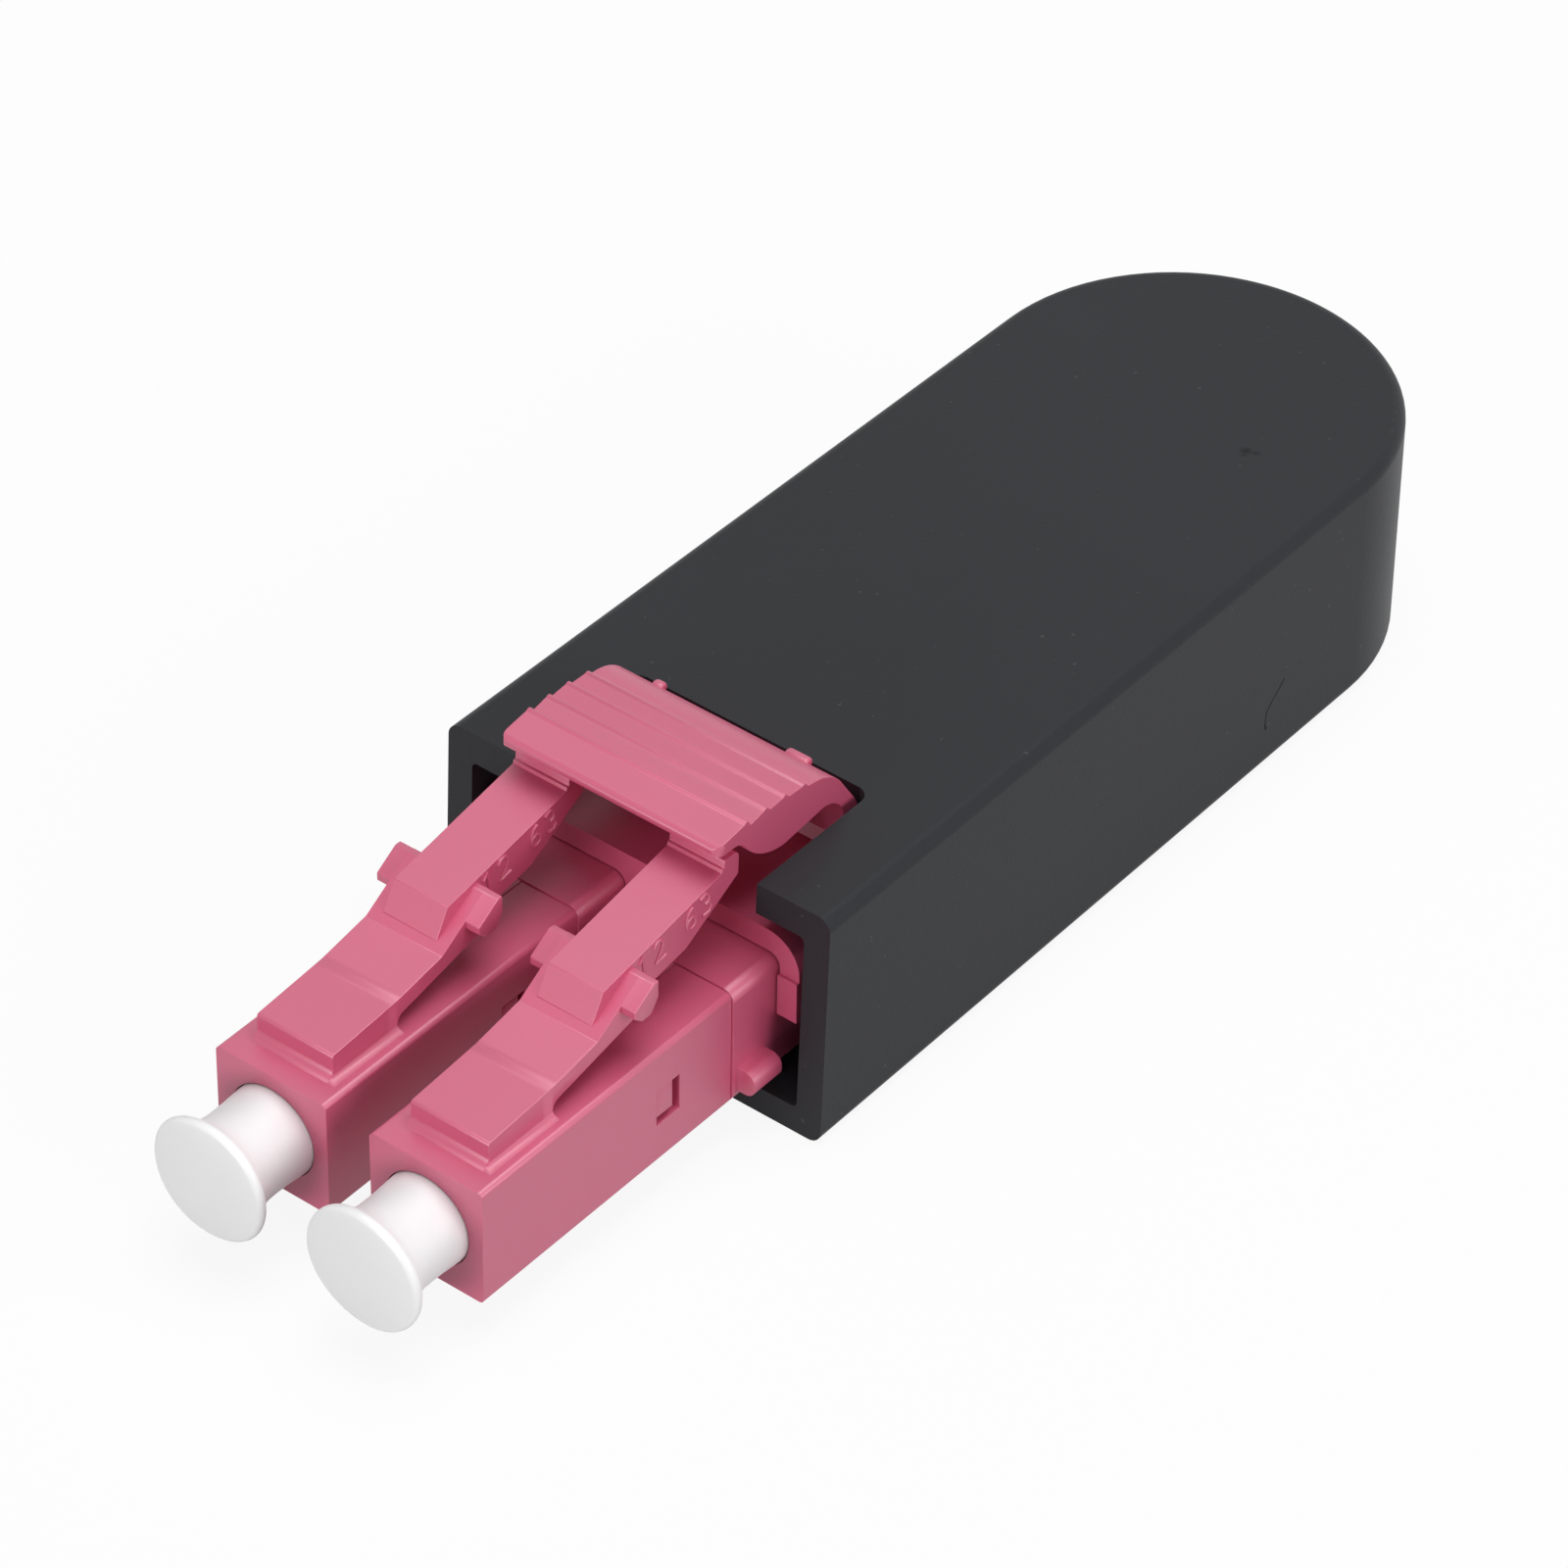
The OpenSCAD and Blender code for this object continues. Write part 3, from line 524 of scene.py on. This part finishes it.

# ---- shell ---------------------------------------------------------------------------------
# The open-fronted shell is moulded in black ABS, from a mould with a spark-eroded grain. It
# has the marks of use: a small dent in its top, darkened with painted shade in its hollow, a
# fine scratch down its right side, and dust.
abs_black = Finish("shell_black")
cloud = abs_black.noise(90, 3)
grain = abs_black.noise(5200, 2, 0.6)
speck = abs_black.ramp(abs_black.noise(4200, 0), (0.83, 0), (0.87, 1))


def spot(finish, x, y, z, size):
    """1 at a place in millimetres, falling to 0 at size millimetres from it."""
    far = finish.node("ShaderNodeVectorMath", {"operation": "DISTANCE"},
                      {0: finish.place(), 1: tuple(at(x, y, z))}, output="Value")
    return finish.node("ShaderNodeMapRange", {"interpolation_type": "SMOOTHSTEP"},
                       {"Value": far, "From Min": 0.0, "From Max": size * mm,
                        "To Min": 1.0, "To Max": 0.0})


def scratch(finish, *points):
    """1 on a line of small spots through points in millimetres, and 0 beside it."""
    spots, size = 4, 0.08
    line = []
    for start, end in zip(points, points[1:]):
        for k in range(spots):
            part = (k + 0.5) / spots
            line.append(spot(finish, *(a + (b - a) * part for a, b in zip(start, end)), size))
    return sum(line[1:], line[0])


roof = 9.0
dent = (spot(abs_black, 3.4, 18.0, roof, 0.3) * 0.6
        + spot(abs_black, 3.75, 18.1, roof, 0.22) * 0.4
        + spot(abs_black, 3.5, 17.75, roof, 0.15) * 0.3)
score = scratch(abs_black, (7.51, 15.0, 3.3), (7.51, 14.75, 3.05), (7.52, 14.35, 2.75),
                (7.52, 14.05, 2.4), (7.52, 14.0, 1.9), (7.52, 14.1, 1.7))
dent_and_scratch = abs_black.ramp(dent + score, (0.0, 0), (0.7, 1))
body_tone = abs_black.mixed(cloud, tone(42, 43, 46), tone(48, 49, 52))
body_tone = abs_black.mixed(speck * 0.2, body_tone, tone(110, 110, 108))
skin = abs_black.node("ShaderNodeBsdfPrincipled", {}, {
    "Base Color": body_tone, "Roughness": 0.38 + cloud * 0.1, "Specular IOR Level": 0.13,
    "Normal": abs_black.bump(dent_and_scratch * -1.0, 0.03, abs_black.bump(grain, 0.006))})
# Painted shade: this dark matt shader, mixed in over the dent, stands for the shade in its hollow;
# it also darkens the scratch along its line.
dent_shade_and_scratch = abs_black.node("ShaderNodeBsdfDiffuse", {}, {"Color": tone(24, 24, 26)})
black = abs_black.done(abs_black.node("ShaderNodeMixShader", {},
                                      {0: dent_and_scratch * 0.55, 1: skin, 2: dent_shade_and_scratch}))
placed("shell_moulding", softened("housing", edge=0.1), black, "shell", ["housing"])

# ---- dust caps -----------------------------------------------------------------------------
# Soft white polyethylene caps, moulded as a thick-walled barrel with a thin flared flange.
# Light passes some way through them.
soft_white = Finish("cap_white")
cloud = soft_white.noise(200, 2)
cap_white = soft_white.done(soft_white.node("ShaderNodeBsdfPrincipled", {}, {
    "Base Color": soft_white.mixed(cloud, tone(246, 246, 247), tone(250, 250, 251)),
    "Roughness": 0.4 + cloud * 0.1, "Specular IOR Level": 0.5,
    "Subsurface Weight": 0.25, "Subsurface Scale": 0.4 * mm,
    "Subsurface Radius": (1.0, 0.95, 0.9),
    "Normal": soft_white.bump(soft_white.noise(5000), 0.002)}))
# The cap's profile as (radius, along), from the middle of its face round the flange's rim,
# down the barrel and back up the blind bore.
face = [(0.0, -3.195), (0.7, -3.186), (1.3, -3.155), (1.75, -3.105), (1.95, -3.07)]
rim, flange_back = (2.04, -2.86, 0.2), -2.6
flange = face + arc(rim, -78, 66, 9)
flare = [(1.98, -2.6), (1.84, -2.45), (1.74, -2.25), (1.66, -2.0), (1.61, -1.7), (1.6, -1.3),
         (1.61, -0.8), (1.635, -0.4), (1.655, 0.0), (1.66, 1.5), (1.6, 2.7), (1.45, 2.95)]
bore = [(0.85, 3.0), (0.75, 2.9), (0.73, -1.5), (0.6, -1.6), (0.0, -1.6)]
wave_depth, wave_radius = 0.02, 2.25
for side, sign in (("left", -1), ("right", 1)):
    cap = bmesh.new()
    line = [cap.verts.new((r, y, 0)) for r, y in flange + flare + bore]
    edges = [cap.edges.new(pair) for pair in zip(line, line[1:])]
    bmesh.ops.spin(cap, geom=line + edges, cent=(0, 0, 0), axis=(0, 1, 0),
                   angle=math.tau, steps=72, use_duplicate=False)
    bmesh.ops.remove_doubles(cap, verts=cap.verts, dist=0.0001)
    bmesh.ops.recalc_face_normals(cap, faces=cap.faces)
    for v in cap.verts:
        if v.co.y < flange_back:
            wave = wave_depth * math.sin(3 * math.atan2(v.co.z, v.co.x) + sign)
            v.co.y += wave * (math.hypot(v.co.x, v.co.z) / wave_radius) ** 2
    cap.transform(Matrix.Scale(mm, 4) @ Matrix.Translation((sign * pitch / 2, nose, axis_z)))
    placed("cap_" + side + "_moulding", as_mesh(cap, "cap"), cap_white,
           "cap_" + side, ["dust_cap_" + side])

# ---- inner pieces --------------------------------------------------------------------------
# Zirconia ferrules, plated holders, rubber boots and the coated fibre keep the solids' own
# shapes. Each spring is steel wire with a closed turn at both ends. In the plug its front end
# goes with the ferrule holder and its rear end stays, so that it shortens as the ferrule is
# pushed in; here the coil is drawn at its modelled length.
# A node takes the first finish that its name starts with, so the holder's stands first.
finishes = (("ferrule_holder", (205, 204, 198), 1.0, 0.32), ("spring", (197, 198, 200), 1.0, 0.28),
            ("boot", (38, 38, 40), 0.0, 0.7), ("fibre", (231, 231, 228), 0.0, 0.4),
            ("ferrule", (238, 236, 228), 0.0, 0.12))
inner = {}
for name, colour, metal, rough in finishes:
    f = Finish(name)
    cloud = f.noise(900, 2)
    dark = tuple(c * 0.88 for c in tone(*colour)[:3]) + (1,)
    inner[name] = f.done(f.node("ShaderNodeBsdfPrincipled", {}, {
        "Base Color": f.mixed(cloud, dark, tone(*colour)), "Metallic": metal,
        "Roughness": rough + (cloud - 0.5) * 0.08, "Normal": f.bump(f.noise(7000), 0.001)}))
for name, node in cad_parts.items():
    for kind, material in inner.items():
        if name.startswith(kind):
            node.data.materials.clear()
            node.data.materials.append(material)
            break
# From front to rear: a closed turn, five open ones and a closed turn.
wire_r, coil_r, closed = 0.14, 1.12, 0.3
turns = [0, 1, 6, 7]
steps, sides = 24, 8
for side, sign in (("left", -1), ("right", 1)):
    low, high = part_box("spring_" + side)
    front, rear = low[1] / mm + wire_r, high[1] / mm - wire_r
    levels = [front, front + closed, rear - closed, rear]
    coil = bmesh.new()
    rings = []
    for k in range(turns[-1] * steps + 1):
        turn = k / steps
        i = sum(turn > t for t in turns[1:])
        climbed = (turn - turns[i]) / (turns[i + 1] - turns[i])
        y = levels[i] + (levels[i + 1] - levels[i]) * climbed
        a = math.tau * turn
        rings.append([])
        for w in [math.tau * j / sides for j in range(sides)]:
            out = coil_r + wire_r * math.cos(w)
            rings[-1].append(coil.verts.new((sign * pitch / 2 + out * math.cos(a),
                                             y + wire_r * math.sin(w),
                                             axis_z + out * math.sin(a))))
    skinned(coil, rings)
    bmesh.ops.recalc_face_normals(coil, faces=coil.faces)
    coil.transform(Matrix.Scale(mm, 4))
    placed("spring_" + side + "_coil", as_mesh(coil, "coil"), inner["spring"],
           ("core_" + side, "shell"), ["spring_" + side],
           (at(0, front, axis_z), at(0, rear, axis_z)))
